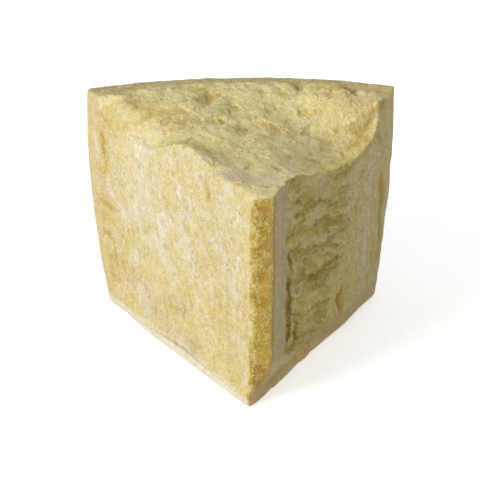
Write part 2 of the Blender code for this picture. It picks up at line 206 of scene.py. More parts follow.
# Colour marks as paths on a face, with their half width in millimetres and their strength. Some paint shade
# or highlight, as noted at each list.
# Amber paste under the rind and at the tip; the marks on the cracks and pits, under the rind's ledge on the
# right and in the rim's recess on the top are partly painted shade.
AMBER = (
    Mark("left", ((173, 103), (171, 98), (172.5, 92)), 3.6, 0.80),
    Mark("left", ((172, 118), (171, 66), (160, 22)), 10.0, 0.47),
    Mark("left", ((164, 112), (176, 114)), 8.0, 0.52),
    Mark("left", ((148, 114), (158, 112)), 7.0, 0.40),
    Mark("left", ((166, 84), (174, 83)), 4.5, 0.52),
    Mark("left", ((162, 61), (173, 62)), 5.0, 0.56),
    Mark("left", ((161, 43), (171, 43)), 5.0, 0.62),
    Mark("left", ((152, 29), (163, 30)), 6.5, 0.58),
    Mark("left", ((50, 80), (47, 74)), 3.0, 0.35),
    Mark("left", ((136, 60), (133, 54)), 3.2, 0.38),
    Mark("left", ((49, 112), (49.5, 108)), 2.6, 0.60),
    Mark("left", ((77, 31), (77, 25)), 2.2, 0.60),
    Mark("left", ((98, 90), (97, 84)), 2.4, 0.45),
    Mark("left", ((73, 92), (72, 80)), 2.6, 0.35),
    Mark("right", ((168, 72), (173, 62), (166, 52), (170, 42), (164, 30)), 6.5, 0.85),
    # Painted shade in amber under the rind's ledge on the right side.
    Mark("right", ((156, 119), (172, 122)), 5.0, 0.80),
    Mark("right", ((160, 106), (168, 98)), 5.0, 0.60),
    Mark("right", ((74, 51), (82, 48)), 4.6, 0.70),
    Mark("right", ((109, 26), (108, 16)), 3.6, 0.85),
    Mark("right", ((45, 74), (52, 70)), 4.0, 0.55),
    Mark("right", ((52, 34), (50, 14)), 3.0, 0.60),
    Mark("right", ((40, 106), (75, 101), (120, 96), (150, 104)), 4.5, 0.55),
    Mark("top", ((34, 70), (46, 96)), 4.0, 0.50),
    # Painted shade in amber in the rim's recess on the top.
    Mark("top", ((82, 156), (86, 164)), 4.0, 0.70),
    Mark("top", ((-22, 178), (-20, 172)), 3.0, 0.80),
    Mark("top", ((-50, 100), (-46, 88)), 5.0, 0.35),
    Mark("top", ((-10, 128), (-4, 124)), 3.0, 0.45),
    Mark("top", ((30, 192), (-30, 195)), 5.0, 0.35),
)
# Darker tan patches, partly painted shade: the first darkens the bowl on the right of the top, where less
# light falls.
TAN_AND_PAINTED_SHADE = (
    Mark("top", ((40, 96), (60, 130), (70, 158)), 20.0, 0.36),
    Mark("top", ((-60, 150), (-40, 118)), 9.0, 0.25),
    Mark("top", ((-30, 100), (-20, 84)), 7.0, 0.35),
    Mark("left", ((150, 30), (100, 14), (60, 14)), 9.0, 0.34),
    Mark("left", ((40, 90), (30, 60), (18, 20)), 18.0, 0.20),
    Mark("left", ((92, 26), (78, 34)), 10.0, 0.30),
)
LEMON = (
    Mark("right", ((58, 30), (84, 24), (112, 26)), 10.0, 0.65),
    Mark("top", ((40, 92), (56, 121), (67, 143)), 3.6, 0.80),
    Mark("top", ((67, 143), (74, 152)), 3.0, 0.50),
    Mark("top", ((-62, 158), (-52, 136)), 7.0, 0.30),
    Mark("left", ((164, 118), (150, 100)), 9.0, 0.30),
)
PALE = (
    Mark("left", ((121, 112), (127, 92), (131, 66)), 8.0, 0.75),
    Mark("left", ((118, 98), (112, 70), (104, 52)), 16.0, 0.38),
    Mark("left", ((103, 78), (100, 70)), 5.0, 0.55),
    Mark("left", ((75, 74), (72, 62)), 5.0, 0.50),
    Mark("left", ((110, 62), (104, 34)), 7.0, 0.30),
    Mark("left", ((128, 22), (112, 10)), 6.0, 0.65),
    Mark("left", ((140, 98), (143, 84)), 6.0, 0.30),
    Mark("left", ((128, 4.5), (110, 6), (93, 8), (75, 9), (55, 8), (32, 6), (14, 6.5)), 1.1, 0.95),
    Mark("right", ((151, 96), (146, 60), (138, 26)), 5.0, 0.55),
    Mark("right", ((128, 98), (118, 70)), 4.0, 0.30),
    # Painted highlight along the crest of the lip beside the crevice.
    Mark("right", ((31.6, 80), (32.6, 66), (31.8, 52), (33.4, 40), (32.6, 26)), 1.5, 0.40),
    Mark("top", ((70, 176), (75, 174)), 2.4, 0.85),
    Mark("top", ((-34, 154), (-30, 154)), 1.6, 0.80),
    Mark("top", ((10, 52), (40, 72)), 3.0, 0.45),
)
BLUSH = (
    Mark("top", ((-15, 44), (4, 42)), 10.0, 0.85),
    Mark("top", ((-30, 62), (-14, 56)), 6.0, 0.40),
    Mark("left", ((120, 16), (60, 8)), 5.0, 0.45),
)
COLOUR_MARKS = {"amber": AMBER, "tanned": TAN_AND_PAINTED_SHADE, "lemon": LEMON, "pale": PALE, "blush": BLUSH}


def length_property(name, description, default):
    """A length in metres that the user may change."""
    return bpy.props.FloatProperty(
        name=name,
        description=description,
        default=default,
        unit="LENGTH",
        precision=5,
    )


class WedgeShape(bpy.types.PropertyGroup):
    """Sizes of the wedge's relief."""

    mesh_size: length_property("Mesh size", "Distance between the points of the fine mesh", 0.0007)
    triangles: bpy.props.IntProperty(
        name="Triangles",
        description="Number of triangles left in the finished wedge",
        default=196000,
    )
    smoothing: bpy.props.IntProperty(
        name="Smoothing",
        description="Rounds that take the flat facets off the solid",
        default=10,
    )
    flake_height: length_property("Flake height", "Relief of the large flakes on the broken top", 0.0008)
    flake_size: length_property("Flake size", "Width of the large flakes on the broken top", 0.010)
    crag_height: length_property("Crag height", "Relief of the broken side", 0.0015)
    crag_size: length_property("Crag size", "Width of the crags on the broken side", 0.011)
    streak_height: length_property("Streak height", "Relief of the scrape marks on the cut side", 0.0006)
    streak_width: length_property("Streak width", "Width of the scrape marks on the cut side", 0.0024)
    grain_height: length_property("Grain height", "Relief of the fine curd grain", 0.0005)
    grain_size: length_property("Grain size", "Width of one curd grain", 0.0021)
    rind_wave: length_property("Rind wave", "Height of the slow waves in the rind", 0.0005)
    seed: bpy.props.IntProperty(
        name="Seed",
        description="Number that fixes the pattern of the relief",
        default=7,
    )


class CrystalShape(bpy.types.PropertyGroup):
    """Sizes of the white crystals in the paste."""

    density: bpy.props.FloatProperty(
        name="Density",
        description="White crystals on each square metre of paste",
        default=6500.0,
    )
    radius: length_property("Radius", "Radius of a middling crystal", 0.00044)
    seed: bpy.props.IntProperty(
        name="Seed",
        description="Number that fixes where the crystals lie",
        default=21,
    )


def colour_property(name, description, default):
    """A colour that the user may change."""
    return bpy.props.FloatVectorProperty(
        name=name,
        description=description,
        default=default,
        subtype="COLOR",
        size=3,
        min=0.0,
        max=1.0,
    )


class PasteFinish(bpy.types.PropertyGroup):
    """Colours of the paste and the rind."""

    cut_paste: colour_property("Cut paste", "Main colour of the cut side", (0.82, 0.685, 0.35))
    top_paste: colour_property("Top paste", "Main colour of the broken top", (0.91, 0.78, 0.36))
    # Side paste and crag paste are yellower and more saturated than the cut paste, partly painting the look
    # of shade on the right side.
    side_paste: colour_property("Side paste", "Main colour of the right side", (0.87, 0.71, 0.29))
    crag_paste: colour_property("Crag paste", "Main colour of the broken side", (0.80, 0.60, 0.13))
    straw: colour_property("Straw", "Yellow patches in the paste", (0.77, 0.63, 0.215))
    # Olive also paints shade in the troughs of the broken side's ridges and in the relief's hollows on the
    # right side.
    olive: colour_property("Olive", "Hollows of the broken side", (0.57, 0.42, 0.08))
    lemon: colour_property("Lemon", "Clear yellow edges of the paste", (0.82, 0.69, 0.20))
    # Tan also paints shade along the crack lines, over the bowl on the right of the top and along the tip's
    # right edge.
    tan: colour_property("Tan", "Drier patches in the paste", (0.60, 0.455, 0.185))
    # Pale paste also paints highlight on the crests of the broken side's ridges and on the raised relief.
    pale_paste: colour_property("Pale paste", "Light flecks in the broken paste", (0.87, 0.78, 0.43))
    chalk: colour_property("Chalk", "Whitish streaks and crushed paste", (0.91, 0.83, 0.65))
    # Amber also paints shade in the relief's hollows, in cracks and pits and under the rind's ledge.
    amber: colour_property("Amber", "Clear golden paste at the tip and under the rind", (0.64, 0.42, 0.07))
    # Deep amber also paints shade in the sunk cracks, pits and the crevice.
    deep_amber: colour_property("Deep amber", "Darkest paste at the tip", (0.50, 0.29, 0.03))
    foot_paste: colour_property("Foot paste", "Strip along the foot of the cut side", (0.91, 0.84, 0.68))
    top_rim: colour_property("Top rim", "Edge of the rind along the top", (0.47, 0.38, 0.16))
    side_rim: colour_property("Side rim", "Edge of the rind along the sides", (0.79, 0.62, 0.31))
    foot_rind: colour_property("Foot rind", "Brown foot of the right side", (0.93, 0.69, 0.31))
    band_paste: colour_property("Band paste", "Smooth greyish band beside the tip", (0.61, 0.49, 0.33))
    blush: colour_property("Blush", "Greyish pink of the rubbed patches", (0.72, 0.59, 0.45))
    rind: colour_property("Rind", "Main colour of the rind", (0.74, 0.55, 0.27))
    rind_dark: colour_property("Dark rind", "Darker clouds in the rind", (0.58, 0.39, 0.16))
    crystal: colour_property("Crystal", "Colour of the crystals", (0.90, 0.86, 0.76))


class StageLayout(bpy.types.PropertyGroup):
    """Camera, lights and floor."""

    lens: bpy.props.FloatProperty(
        name="Lens",
        description="Focal length of the camera in millimetres",
        default=292.5,
    )
    eye: bpy.props.FloatVectorProperty(
        name="Eye",
        description="Place of the camera",
        default=(-0.14877, -2.04398, 0.94247),
        subtype="TRANSLATION",
        unit="LENGTH",
        size=3,
    )
    yaw: bpy.props.FloatProperty(
        name="Yaw",
        description="Turn of the camera about the vertical",
        default=math.radians(-4.019),
        subtype="ANGLE",
    )
    pitch: bpy.props.FloatProperty(
        name="Pitch",
        description="Angle by which the camera looks down",
        default=math.radians(23.305),
        subtype="ANGLE",
    )
    roll: bpy.props.FloatProperty(
        name="Roll",
        description="Tilt of the camera about its view",
        default=math.radians(0.4562),
        subtype="ANGLE",
    )
    key_power: bpy.props.FloatProperty(
        name="Key light",
        description="Power of the large soft light at the front left",
        default=60.0,
        unit="POWER",
    )
    sky: bpy.props.FloatProperty(
        name="Sky light",
        description="Strength of the even light from all round",
        default=0.56,
    )
    floor_glow: bpy.props.FloatProperty(
        name="Floor glow",
        description="How far the floor is lifted towards white in the picture",
        default=0.50,
    )


class Maker:
    """Adds nodes to a tree and joins them, so that a formula can be read from top to bottom."""

    def __init__(self, tree):
        self.tree = tree

    def node(self, kind, inputs=None, **settings):
        node = self.tree.nodes.new(kind)
        for name, value in settings.items():
            setattr(node, name, value)
        for key, value in (inputs or {}).items():
            self.feed(node.inputs[key], value)
        return node

    def feed(self, socket, value):
        if isinstance(value, bpy.types.NodeSocket):
            self.tree.links.new(value, socket)
        else:
            socket.default_value = value

    def math(self, operation, first, second=0.0, third=0.0):
        node = self.node("ShaderNodeMath", {0: first, 1: second, 2: third}, operation=operation)
        return node.outputs[0]

    def total(self, *parts):
        result = parts[0]
        for part in parts[1:]:
            result = self.math("ADD", result, part)
        return result

    def product(self, *parts):
        result = parts[0]
        for part in parts[1:]:
            result = self.math("MULTIPLY", result, part)
        return result

    def vector(self, operation, first, second=(0.0, 0.0, 0.0)):
        return self.node("ShaderNodeVectorMath", {0: first, 1: second}, operation=operation)

    def split(self, vector):
        return self.node("ShaderNodeSeparateXYZ", {0: vector}).outputs

    def joined(self, *parts):
        return self.node("ShaderNodeCombineXYZ", dict(enumerate(parts))).outputs[0]

    def clouds(self, *settings):
        return self.noise(*settings).outputs["Fac"]

    def scaled(self, vector, amount):
        node = self.node("ShaderNodeVectorMath", {0: vector, "Scale": amount}, operation="SCALE")
        return node.outputs[0]

    def blend(self, share, first, second):
        node = self.node("ShaderNodeMix", {0: share, 6: first, 7: second}, data_type="RGBA")
        return node.outputs[2]

    def ramp(self, value, low, high, to_low=0.0, to_high=1.0):
        node = self.node(
            "ShaderNodeMapRange",
            {"Value": value, 1: low, 2: high, 3: to_low, 4: to_high},
            interpolation_type="SMOOTHSTEP",
        )
        return node.outputs[0]

    def noise(self, vector, scale, detail=3.0, roughness=0.55, distortion=0.0):
        return self.node(
            "ShaderNodeTexNoise",
            {
                "Vector": vector,
                "Scale": scale,
                "Detail": detail,
                "Roughness": roughness,
                "Distortion": distortion,
            },
        )


def solid(colour):
    """The four numbers that a colour socket takes."""
    return (*colour, 1.0)


def smooth_step(value, low, high):
    """0 up to low, 1 from high on, and a soft rise between them."""
    share = np.clip((value - low) / (high - low), 0.0, 1.0)
    return share * share * (3.0 - 2.0 * share)


def path_share(points, path, width):
    """1 on a path, falling softly to 0 at about twice its half width."""
    nearest = np.full(len(points), np.inf)
    for start, end in zip(path[:-1], path[1:]):
        start = np.array(start, dtype=float)
        run = np.array(end, dtype=float) - start
        share = np.clip((points - start) @ run / (run @ run), 0.0, 1.0)
        gap = np.linalg.norm(points - start - share[:, None] * run, axis=1)
        nearest = np.minimum(nearest, gap)
    return np.exp(-((nearest / width) ** 2))


def mesh_points(mesh):
    """The points of a mesh, in millimetres."""
    points = np.empty(len(mesh.vertices) * 3)
    mesh.vertices.foreach_get("co", points)
    return points.reshape(-1, 3) / MM


def place_points(mesh, points):
    """Moves the points of a mesh to places in millimetres."""
    mesh.vertices.foreach_set("co", (points * MM).ravel())
    mesh.update()


def blurred(mesh, values, rounds):
    """Values on the points of a mesh, each averaged with its neighbours for some rounds."""
    edges = np.empty(len(mesh.edges) * 2, dtype=np.int64)
    mesh.edges.foreach_get("vertices", edges)
    first, second = edges.reshape(-1, 2).T
    count = len(mesh.vertices)
    ends = np.concatenate((first, second))
    others = np.concatenate((second, first))
    degree = np.bincount(ends, minlength=count)
    result = np.array(values, dtype=float).reshape(count, -1)
    for _ in range(rounds):
        columns = [np.bincount(ends, column[others], count) for column in result.T]
        result = 0.5 * result + 0.5 * np.column_stack(columns) / degree[:, None]
    return result


class Surface:
    """Where each point of the wedge lies: on which face, how far along it and how deep under the rind."""

    def __init__(self, mesh):
        points = mesh_points(mesh)
        normals = np.empty(len(mesh.vertices) * 3)
        mesh.vertices.foreach_get("normal", normals)
        normals = blurred(mesh, normals.reshape(-1, 3), 8)
        normals /= np.linalg.norm(normals, axis=1)[:, None]
        wheel = points[:, :2] - (0.0, WHEEL_AXIS_Y)
        height = points[:, 2]
        radius = np.linalg.norm(wheel, axis=1)
        self.height = height
        self.rind_depth = self.rind_radius(radius, height) - radius
        left_depth, left_along = self.side(wheel, LEFT_CORNER, LEFT_ALONG, -1.0)
        right_depth, right_along = self.side(wheel, RIGHT_CORNER, RIGHT_ALONG, 1.0)
        self.places = {
            "left": np.column_stack((left_along, height)),
            "right": np.column_stack((right_along, height)),
            "top": wheel,
        }
        outward = wheel / radius[:, None]
        facing = {
            "left": normals[:, :2] @ (-LEFT_ALONG[1], LEFT_ALONG[0]),
            "right": normals[:, :2] @ (RIGHT_ALONG[1], -RIGHT_ALONG[0]),
            "top": normals[:, 2],
            "tip": -normals[:, 1],
            "outer": np.sum(normals[:, :2] * outward, axis=1),
            "base": -normals[:, 2],
        }
        near = {
            "left": 1.0 - smooth_step(left_depth, 9.0, 15.0),
            "right": 1.0 - smooth_step(right_depth, 10.0, 16.0),
            "top": smooth_step(height, 60.0, 90.0),
            "tip": 1.0 - smooth_step(wheel[:, 1], 8.0, 12.0),
            "outer": 1.0 - smooth_step(self.rind_depth, 3.0, 7.0),
            "base": 1.0 - smooth_step(height, 2.0, 5.0),
        }
        raw = {name: near[name] * np.clip(facing[name], 0.0, 1.0) ** 7 for name in FACE_NAMES}
        raw["top"] = raw["top"] + 0.02 * near["top"] * (1.0 - near["outer"])
        total = sum(raw.values()) + 1e-6
        self.faces = {name: raw[name] / total for name in FACE_NAMES}

    @staticmethod
    def rind_radius(radius, height):
        """Radius of the rind at each height, from the outermost points at that height."""
        steps = np.linspace(height.min(), height.max(), 33)
        band = np.clip(np.digitize(height, steps) - 1, 0, 31)
        widest = np.array([radius[band == number].max() for number in range(32)])
        return np.interp(height, (steps[:-1] + steps[1:]) / 2.0, widest)

    @staticmethod
    def side(wheel, corner, along, turn):
        """Depth under a side and distance along it from its corner at the tip."""
        offset = wheel - corner
        outward = np.array((turn * along[1], -turn * along[0]))
        return -(offset @ outward), offset @ np.array(along)

    def marks(self, marks):
        """Share of each point that a list of marks covers."""
        result = np.zeros(len(self.height))
        for mark in marks:
            cover = path_share(self.places[mark.face], mark.path, mark.width)
            result = np.maximum(result, mark.strength * cover * self.faces[mark.face])
        return result


def interpolated(values, knots):
    """What a list of pairs gives for each value, with even runs between the pairs."""
    return np.interp(values, *zip(*knots))


def surface_masks(surface):
    """The shares that the relief and the colours of the wedge read, by name."""
    faces = surface.faces
    along, up = surface.places["right"].T
    broken_edge = interpolated(up, BROKEN_EDGE)
    broken_side = smooth_step(along, 27.5, 31.0)
    broken_side *= 1.0 - smooth_step(along, broken_edge - 4.0, broken_edge + 8.0)
    rim = 1.0 - smooth_step(surface.rind_depth, 9.0, 14.0)
    thin_rim = 1.0 - smooth_step(surface.rind_depth, 2.5, 6.0)
    foot_line = interpolated(along, FOOT_LINE)
    foot = faces["right"] * (1.0 - smooth_step(surface.height, foot_line - 3.0, foot_line + 3.0))
    left_foot = faces["left"] * (1.0 - smooth_step(surface.height, 4.0, 6.5))
    band = faces["right"] * (1.0 - smooth_step(along, 26.5, 29.0))
    near_tip = faces["right"] * (1.0 - smooth_step(along, 1.0, 7.0))
    near_tip += faces["left"] * (1.0 - smooth_step(surface.places["left"][:, 0], 0.0, 4.0))
    calm_top = path_share(surface.places["top"], CALM_PATH, CALM_WIDTH)
    masks = dict(faces)
    masks["rim"] = rim * (faces["top"] + faces["left"]) + thin_rim * faces["right"]
    masks["foot"] = foot
    masks["left_foot"] = left_foot
    masks["near_tip"] = np.clip(faces["tip"] + near_tip, 0.0, 1.0)
    masks["band"] = band * smooth_step(along, 2.0, 7.0) * (1.0 - foot)
    for name, marks in COLOUR_MARKS.items():
        masks[name] = surface.marks(marks)
    masks["scar"] = np.clip(surface.marks(SCARS), 0.0, 1.0)
    masks["broken_top"] = faces["top"] * (1.0 - 0.8 * calm_top) * (1.0 - 0.75 * rim)
    masks["broken_side"] = faces["right"] * broken_side * (1.0 - 0.8 * foot)
    scraped = faces["left"] * (1.0 - 0.7 * rim) * (1.0 - 0.7 * left_foot)
    masks["scraped"] = scraped + 0.8 * faces["right"] * (1.0 - broken_side) * (1.0 - rim)
    masks["rind"] = np.clip(faces["outer"] + faces["base"] + 0.6 * rim * (1.0 - faces["outer"]), 0.0, 1.0)
    paste = np.clip(1.0 - faces["outer"] - faces["base"], 0.0, 1.0)
    masks["grainy"] = paste * (1.0 - 0.75 * rim) * (1.0 - 0.7 * band) * (1.0 - 0.6 * masks["foot"])
    masks["rind_depth"] = surface.rind_depth
    return masks


def store_masks(mesh, masks):
    """Keeps each mask as a named attribute on the points of a mesh."""
    for name, values in masks.items():
        layer = mesh.attributes.new(name, "FLOAT", "POINT")
        layer.data.foreach_set("value", np.asarray(values, dtype=np.float32))


def finished_mesh(piece, name):
    """The mesh that a piece shows with its modifiers, without them."""
    depsgraph = bpy.context.evaluated_depsgraph_get()
    mesh = bpy.data.meshes.new_from_object(piece.evaluated_get(depsgraph))
    mesh.name = name
    piece.modifiers.clear()
    old = piece.data
    piece.data = mesh
    bpy.data.meshes.remove(old)
    return mesh


def shade_smooth(mesh):
    """Smooth shading on every face."""
    mesh.polygons.foreach_set("use_smooth", np.ones(len(mesh.polygons), dtype=bool))
    mesh.update()


def fine_copy(name, settings):
    """A copy of the solid as a fine, smooth, even mesh."""
    mesh = bpy.data.meshes.new(name)
    merged = bmesh.new()
    merged.from_mesh(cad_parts[NODE].data)
    bmesh.ops.remove_doubles(merged, verts=merged.verts, dist=0.000002)
    merged.to_mesh(mesh)
    merged.free()
    mesh.materials.clear()
    piece = bpy.data.objects.new(name, mesh)
    bpy.context.scene.collection.objects.link(piece)
    remesh = piece.modifiers.new("fine mesh", "REMESH")
    remesh.mode = "VOXEL"
    remesh.voxel_size = settings.mesh_size
    remesh.adaptivity = 0.0
    smooth = piece.modifiers.new("soft facets", "SMOOTH")
    smooth.factor = 0.5
    smooth.iterations = settings.smoothing
    finished_mesh(piece, name)
    return piece


def cut_scars(mesh, surface):
    """Sinks the cracks and pits into the paste, and raises its ridges."""
    normals = np.empty(len(mesh.vertices) * 3)
    mesh.vertices.foreach_get("normal", normals)
    depth = surface.marks(SCARS) - surface.marks(RIDGES)
    points = mesh_points(mesh) - depth[:, None] * normals.reshape(-1, 3)
    place_points(mesh, points)


def soften(mesh, share, rounds):
    """Smooths a share of each point's place for some rounds."""
    points = mesh_points(mesh)
    place_points(mesh, points + share[:, None] * (blurred(mesh, points, rounds) - points))


def wear_edges(mesh, surface):
    """Smooths the rind, the top edge of the cut side and the seam beside its rind."""
    soften(mesh, np.clip(surface.faces["outer"] * 1.2 - 0.2, 0.0, 1.0), RIND_ROUNDS)
    edge = 4.0 * surface.faces["left"] * surface.faces["top"]
    edge = np.clip(blurred(mesh, edge, SPREAD_ROUNDS)[:, 0] * 3.0, 0.0, 1.0)
    soften(mesh, edge, WORN_ROUNDS)
    depth = surface.rind_depth
    seam = smooth_step(depth, 8.0, 13.0) * (1.0 - smooth_step(depth, 20.0, 26.0))
    soften(mesh, surface.faces["left"] * seam, WORN_ROUNDS)


def leaning_place(maker, place, squeeze):
    """A place squeezed along the scrape marks, which lean a little from upright."""
    height = maker.split(place)[2]
    shift = maker.joined(*(maker.product(height, lean) for lean in SCRAPE_LEAN))
    flat = maker.vector("MULTIPLY", place, (1.0, 1.0, squeeze)).outputs[0]
    return maker.vector("ADD", flat, shift).outputs[0]


def lying_place(maker, place, squeeze):
    """A place measured by the ridges of the broken side, with each measure squeezed."""
    parts = [
        maker.product(maker.vector("DOT_PRODUCT", place, way).outputs["Value"], amount)
        for way, amount in zip(RIDGE_WAYS, squeeze)
    ]
    return maker.joined(*parts)


def ragged_place(maker, place, scale, amount):
    """A place shifted by a rough noise, so that whatever reads it has ragged edges."""
    noise = maker.noise(place, scale, 3.0, 0.6).outputs["Color"]
    shift = maker.vector("SUBTRACT", noise, (0.5, 0.5, 0.5)).outputs[0]
    return maker.vector("ADD", place, maker.scaled(shift, amount)).outputs[0]


def patch_height(maker, place, size, kinds):
    """Height of broken paste: each patch has a level and a lean of its own, in shares of its size."""
    heights = []
    for kind in kinds:
        width = maker.product(size, kind.size)
        inside = maker.vector("DIVIDE", place, maker.joined(width, width, width)).outputs[0]
        patches = maker.node(
            "ShaderNodeTexVoronoi",
            {"Vector": inside, "Scale": 1.0, "Smoothness": kind.softness},
            feature="SMOOTH_F1",
        )
        own = maker.vector("SUBTRACT", patches.outputs["Color"], (0.5, 0.5, 0.5)).outputs[0]
        away = maker.vector("SUBTRACT", inside, patches.outputs["Position"]).outputs[0]
        slope = maker.vector("DOT_PRODUCT", own, away).outputs["Value"]
        step = maker.split(own)[0]
        height = maker.total(maker.product(slope, kind.lean), maker.product(step, kind.level))
        heights.append(maker.product(height, kind.weight))
    return maker.total(*heights)


def new_tree(name, kind, inputs, outputs):
    """A node tree with named sockets, a maker for its nodes, its inputs and its outputs."""
    tree = bpy.data.node_groups.new(name, kind)
    for way, sockets in (("INPUT", inputs), ("OUTPUT", outputs)):
        for label, socket in sockets.items():
            tree.interface.new_socket(label, in_out=way, socket_type="NodeSocket" + socket)
    maker = Maker(tree)
    return tree, maker, maker.node("NodeGroupInput").outputs, maker.node("NodeGroupOutput").inputs


def end_tree(maker, geometry, material, result):
    """Ends a geometry tree with real geometry in one material."""
    real = maker.node("GeometryNodeRealizeInstances", {"Geometry": geometry})
    dressed = maker.node("GeometryNodeSetMaterial", {"Geometry": real.outputs[0], "Material": material})
    maker.feed(result[0], dressed.outputs[0])


def relief_tree(material):
    """The node tree that raises flakes, crags, scrape marks, curd grain and rind waves on the wedge."""
    inputs = {**GEOMETRY, **dict.fromkeys(RELIEF_INPUTS, "Float")}
    tree, maker, given, result = new_tree("wedge_relief", "GeometryNodeTree", inputs, GEOMETRY)

    def mask(name):
        node = maker.node("GeometryNodeInputNamedAttribute", {"Name": name}, data_type="FLOAT")
        return node.outputs["Attribute"]

    place = maker.node("GeometryNodeInputPosition").outputs[0]
    seed = given["Seed"]
    moved = maker.vector("ADD", place, maker.joined(seed, seed, seed)).outputs[0]
    bent = ragged_place(maker, moved, 240.0, 0.006)

    flakes = patch_height(maker, bent, given["Flake size"], TOP_PATCHES)
    flakes = maker.product(mask("broken_top"), given["Flake height"], flakes)

    lying = lying_place(maker, bent, CRAG_SQUEEZE)
    crags = patch_height(maker, lying, given["Crag size"], SIDE_PATCHES)
    crags = maker.product(mask("broken_side"), given["Crag height"], crags)

    standing = leaning_place(maker, bent, 0.7)
    streak_scale = maker.math("DIVIDE", 1.0, given["Streak width"])
    streaks = maker.clouds(standing, streak_scale, 4.0, 0.62, 0.8)
    streaks = maker.product(maker.math("SUBTRACT", streaks, 0.5), 2.6)
    chips = patch_height(maker, standing, given["Streak width"], CHIP_PATCHES)
    streaks = maker.product(mask("scraped"), given["Streak height"], maker.total(streaks, chips))

    grains = maker.node(
        "ShaderNodeTexVoronoi",
        {"Vector": bent, "Scale": maker.math("DIVIDE", 1.0, given["Grain size"]), "Smoothness": 0.4},
        feature="SMOOTH_F1",
    ).outputs["Distance"]
    grains = maker.math("SUBTRACT", 0.45, grains)
    clumps = maker.ramp(maker.clouds(moved, 130.0, 2.0), 0.35, 0.65, 0.35, 1.0)
    grains = maker.product(mask("grainy"), given["Grain height"], clumps, grains)

    waves = maker.math("SUBTRACT", maker.clouds(moved, 38.0, 3.0, 0.5), 0.5)
    waves = maker.product(mask("rind"), given["Rind wave"], waves, 2.0)

    stands = maker.ramp(maker.split(place)[2], *STAND_HEIGHTS)
    height = maker.product(maker.total(flakes, crags, streaks, grains, waves), stands)
    offset = maker.scaled(maker.node("GeometryNodeInputNormal").outputs[0], height)
    raised = maker.node("GeometryNodeSetPosition", {"Geometry": given["Geometry"], "Offset": offset})
    noted = maker.node(
        "GeometryNodeStoreNamedAttribute",
        {"Geometry": raised.outputs[0], "Name": "relief", "Value": maker.product(height, 1.0 / MM)},
        data_type="FLOAT",
        domain="POINT",
    )
    end_tree(maker, noted.outputs[0], material, result)
    return tree


def set_inputs(modifier, values):
    """Sets a nodes modifier's inputs by name, through each socket's identifier."""
    found = {
        item.name: item.identifier
        for item in modifier.node_group.interface.items_tree
        if item.item_type == "SOCKET" and item.in_out == "INPUT"
    }
    for name, value in values.items():
        modifier[found[name]] = value


def thin_out(piece, triangles):
    """Leaves about that many triangles in a piece."""
    piece.data.calc_loop_triangles()
    share = triangles / len(piece.data.loop_triangles)
    if share < 1.0:
        thinner = piece.modifiers.new("fewer triangles", "DECIMATE")
        thinner.ratio = share
        finished_mesh(piece, piece.name)


def settle_base(mesh):
    """Keeps every point on or above the surface that the wedge rests on."""
    points = mesh_points(mesh)
    points[:, 2] = np.maximum(points[:, 2], 0.0)
    place_points(mesh, points)


def mottle_group():
    """A group that gives the clouds, blotches, grains and cracks of the paste as masks."""
    name = "paste_mottle"
    if name in bpy.data.node_groups:
        return bpy.data.node_groups[name]
    inputs = {"Place": "Vector", "Coarseness": "Float"}
    tree, maker, given, result = new_tree(name, "ShaderNodeTree", inputs, dict.fromkeys(MOTTLES, "Float"))
    place = maker.scaled(given["Place"], given["Coarseness"])
    bent = ragged_place(maker, place, 300.0, 0.004)
    cells = maker.node("ShaderNodeTexVoronoi", {"Vector": bent, "Scale": 560.0}, feature="F1")
    cells = maker.split(cells.outputs["Color"])
    grain = maker.node("ShaderNodeTexVoronoi", {"Vector": place, "Scale": 850.0}, feature="F1")
    lines = maker.clouds(place, 120.0, 5.0, 0.62, 0.8)
    lines = maker.math("ABSOLUTE", maker.math("SUBTRACT", lines, 0.5))
    open_lines = maker.ramp(maker.clouds(place, 160.0, 2.0), 0.46, 0.56)
    masks = {
        "Clouds": maker.clouds(place, 68.0, 4.0, 0.62, 0.6),
        "Blotches": maker.clouds(leaning_place(maker, place, 0.80), 220.0, 5.0, 0.68, 1.2),
        "Flecks": maker.clouds(place, 640.0, 3.0, 0.72, 0.6),
        "Streaks": maker.clouds(leaning_place(maker, place, 0.30), 430.0, 4.0, 0.66, 0.5),
        "Ridges": maker.clouds(lying_place(maker, place, RIDGE_SQUEEZE), 150.0, 5.0, 0.64, 0.7),
        "Light grains": cells[0],
        "Dark grains": cells[1],
        "Cracks": maker.product(maker.ramp(lines, 0.014, 0.002), open_lines),
        "Grain": grain.outputs["Distance"],
    }
    for output, value in masks.items():
        maker.feed(result[output], value)
    return tree


def new_material(name):
    """An empty material with its shader and output, and a maker for its nodes."""
    material = bpy.data.materials.new(name)
    material.use_nodes = True
    material.node_tree.nodes.clear()
    maker = Maker(material.node_tree)
    shader = maker.node("ShaderNodeBsdfPrincipled")
    output = maker.node("ShaderNodeOutputMaterial")
    maker.feed(output.inputs["Surface"], shader.outputs[0])
    return material, maker, shader


class Paint:
    """A colour on which others are laid in turn."""

    def __init__(self, maker, colour):
        self.maker = maker
        self.colour = self.ready(colour)

    @staticmethod
    def ready(colour):
        return colour if isinstance(colour, bpy.types.NodeSocket) else solid(colour)

    def lay(self, colour, *shares):
        share = self.maker.product(*shares)
        self.colour = self.maker.blend(share, self.colour, self.ready(colour))
        return self


